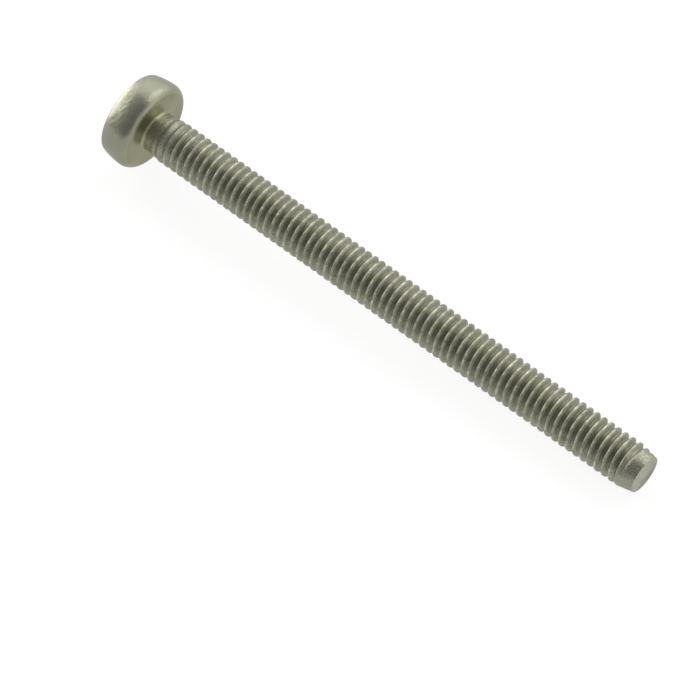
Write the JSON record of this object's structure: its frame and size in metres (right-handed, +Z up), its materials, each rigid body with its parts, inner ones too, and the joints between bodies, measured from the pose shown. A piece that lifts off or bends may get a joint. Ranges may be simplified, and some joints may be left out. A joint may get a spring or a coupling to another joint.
{
  "type": "machine screw",
  "caption": "Long thin machine screw with a domed pan head and a cross recess, threaded from just under the head to its bevelled point.",
  "frame": {"origin": "centre of the underside of the head, on the screw's axis", "axes": "+X from the head towards the point, along the flat surface that the screw lies on; the screw's own axis lies in the XZ plane and dips 2.297 degrees below +X, because the screw rests on the edge of its head and on its point; +Z up"},
  "size_m": [0.0532, 0.0078, 0.0078],
  "materials": {
    "steel": "plain stainless steel, cold formed and rolled, satin with a slight warm grey tone"
  },
  "bodies": {
    "root": {"screw": "steel"}
  },
  "joints": []
}
